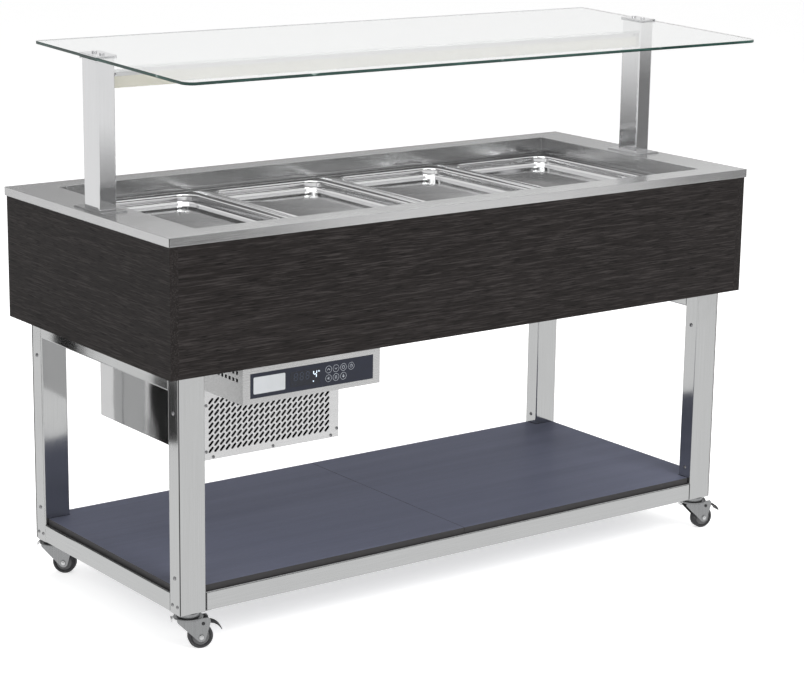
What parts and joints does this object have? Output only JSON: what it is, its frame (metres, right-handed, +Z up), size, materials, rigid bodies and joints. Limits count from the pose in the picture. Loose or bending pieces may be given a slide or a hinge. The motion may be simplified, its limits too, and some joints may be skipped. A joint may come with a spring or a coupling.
{
  "type": "mobile refrigerated salad bar",
  "caption": "Mobile salad bar: a chilled well of shallow pans under a glass canopy, on a castor frame with a lower shelf and a condensing unit.",
  "frame": {"origin": "on the floor, under the middle of the whole object's bounding box", "axes": "+X along the counter to the right as seen from the front, +Y from the front to the back, +Z up"},
  "size_m": [1.5, 0.699, 1.1578],
  "materials": {
    "worktop_steel": "fine brushed",
    "tank_steel": "brushed",
    "pan_steel": "satin, nearly polished",
    "bar_steel": "brushed",
    "foam": "cut foam",
    "casing_steel": "mill finish",
    "wenge_board": "satin laminate with a fine horizontal grain",
    "frame_steel": "polished",
    "shelf_board": "satin laminate",
    "post_steel": "polished",
    "clear_glass": "polished",
    "light_aluminium": "satin anodised",
    "diffuser": "satin",
    "unit_steel": "brushed",
    "grille_steel": "brushed",
    "compressor_black": "semi-gloss",
    "coil_aluminium": "bare fins",
    "shroud_black": "satin",
    "motor_black": "satin",
    "blade_aluminium": "bare",
    "pipe_copper": "bare copper",
    "panel_black": "glossy",
    "gland_black": "matt",
    "valve_brass": "nickel-free brass",
    "lever_red": "vinyl coated",
    "castor_zinc": "zinc plated",
    "wheel_grey": "grey tread",
    "pedal_black": "matt"
  },
  "bodies": {
    "counter": {"worktop": "worktop_steel", "well_rim": "tank_steel", "well_tank": "tank_steel", "insulation": "foam", "tank_casing": "casing_steel", "divider_bar_1": "bar_steel", "divider_bar_2": "bar_steel", "divider_bar_3": "bar_steel", "skirt_front": "wenge_board", "skirt_back": "wenge_board", "skirt_left": "wenge_board", "skirt_right": "wenge_board", "leg_front_left": "frame_steel", "leg_front_right": "frame_steel", "leg_back_left": "frame_steel", "leg_back_right": "frame_steel", "top_rail_left": "frame_steel", "top_rail_right": "frame_steel", "bottom_rail_left": "frame_steel", "bottom_rail_right": "frame_steel", "bottom_rail_front": "frame_steel", "bottom_rail_back": "frame_steel", "shelf_left": "shelf_board", "shelf_right": "shelf_board", "post_left": "post_steel", "post_right": "post_steel", "clamp_plates": "post_steel", "canopy_glass": "clear_glass", "light_housing": "light_aluminium", "light_diffuser": "diffuser", "unit_tray": "unit_steel", "front_grille": "grille_steel", "unit_cover": "unit_steel", "compressor": "compressor_black", "condenser": "coil_aluminium", "fan_shroud": "shroud_black", "fan_motor": "motor_black", "pipework": "pipe_copper", "control_box": "unit_steel", "control_panel": "panel_black", "cable_gland": "gland_black", "drain_valve": "valve_brass", "castor_heads": "castor_zinc"},
    "fan": {"fan_blade": "blade_aluminium"},
    "drain_handle": {"drain_lever": "lever_red"},
    "pan_1": {"pan_1": "pan_steel"},
    "pan_2": {"pan_2": "pan_steel"},
    "pan_3": {"pan_3": "pan_steel"},
    "pan_4": {"pan_4": "pan_steel"},
    "castor_front_left": {"fork_front_left": "castor_zinc"},
    "castor_wheel_front_left": {"wheel_front_left": "wheel_grey"},
    "castor_front_right": {"fork_front_right": "castor_zinc"},
    "castor_wheel_front_right": {"wheel_front_right": "wheel_grey"},
    "castor_back_left": {"fork_back_left": "castor_zinc"},
    "castor_wheel_back_left": {"wheel_back_left": "wheel_grey"},
    "castor_back_right": {"fork_back_right": "castor_zinc"},
    "castor_wheel_back_right": {"wheel_back_right": "wheel_grey"},
    "castor_brake_front_left": {"brake_front_left": "pedal_black"},
    "castor_brake_front_right": {"brake_front_right": "pedal_black"}
  },
  "joints": [
    {"name": "pan_1_lift", "type": "slide", "parent": "counter", "child": "pan_1", "axis": [0, 0, 1], "range_m": [0, 0.2]},
    {"name": "pan_2_lift", "type": "slide", "parent": "counter", "child": "pan_2", "axis": [0, 0, 1], "range_m": [0, 0.2]},
    {"name": "pan_3_lift", "type": "slide", "parent": "counter", "child": "pan_3", "axis": [0, 0, 1], "range_m": [0, 0.2]},
    {"name": "pan_4_lift", "type": "slide", "parent": "counter", "child": "pan_4", "axis": [0, 0, 1], "range_m": [0, 0.2]},
    {"name": "fan_spin", "type": "hinge", "parent": "counter", "child": "fan", "pos_m": [-0.421, -0.08151, 0.4455], "axis": [0, 1, 0], "continuous": true},
    {"name": "drain_turn", "type": "hinge", "parent": "counter", "child": "drain_handle", "pos_m": [0.21, 0.09849, 0.539], "axis": [0, 1, 0], "range_deg": [0, 90]},
    {"name": "swivel_front_left", "type": "hinge", "parent": "counter", "child": "castor_front_left", "pos_m": [-0.682, -0.26051, 0.07], "axis": [0, 0, 1], "continuous": true},
    {"name": "roll_front_left", "type": "hinge", "parent": "castor_front_left", "child": "castor_wheel_front_left", "pos_m": [-0.65945, -0.26871, 0.025], "axis": [0.342, 0.9397, 0], "continuous": true},
    {"name": "brake_front_left", "type": "hinge", "parent": "castor_front_left", "child": "castor_brake_front_left", "pos_m": [-0.65569, -0.27008, 0.0535], "axis": [0.342, 0.9397, 0], "range_deg": [0, 7]},
    {"name": "swivel_front_right", "type": "hinge", "parent": "counter", "child": "castor_front_right", "pos_m": [0.682, -0.26051, 0.07], "axis": [0, 0, 1], "continuous": true},
    {"name": "roll_front_right", "type": "hinge", "parent": "castor_front_right", "child": "castor_wheel_front_right", "pos_m": [0.70564, -0.26467, 0.025], "axis": [0.1736, 0.9848, 0], "continuous": true},
    {"name": "brake_front_right", "type": "hinge", "parent": "castor_front_right", "child": "castor_brake_front_right", "pos_m": [0.70957, -0.26537, 0.0535], "axis": [0.1736, 0.9848, 0], "range_deg": [0, 7]},
    {"name": "swivel_back_left", "type": "hinge", "parent": "counter", "child": "castor_back_left", "pos_m": [-0.682, 0.29549, 0.07], "axis": [0, 0, 1], "continuous": true},
    {"name": "roll_back_left", "type": "hinge", "parent": "castor_back_left", "child": "castor_wheel_back_left", "pos_m": [-0.66503, 0.27852, 0.025], "axis": [0.7071, 0.7071, 0], "continuous": true},
    {"name": "swivel_back_right", "type": "hinge", "parent": "counter", "child": "castor_back_right", "pos_m": [0.682, 0.29549, 0.07], "axis": [0, 0, 1], "continuous": true},
    {"name": "roll_back_right", "type": "hinge", "parent": "castor_back_right", "child": "castor_wheel_back_right", "pos_m": [0.70455, 0.28729, 0.025], "axis": [0.342, 0.9397, 0], "continuous": true}
  ]
}
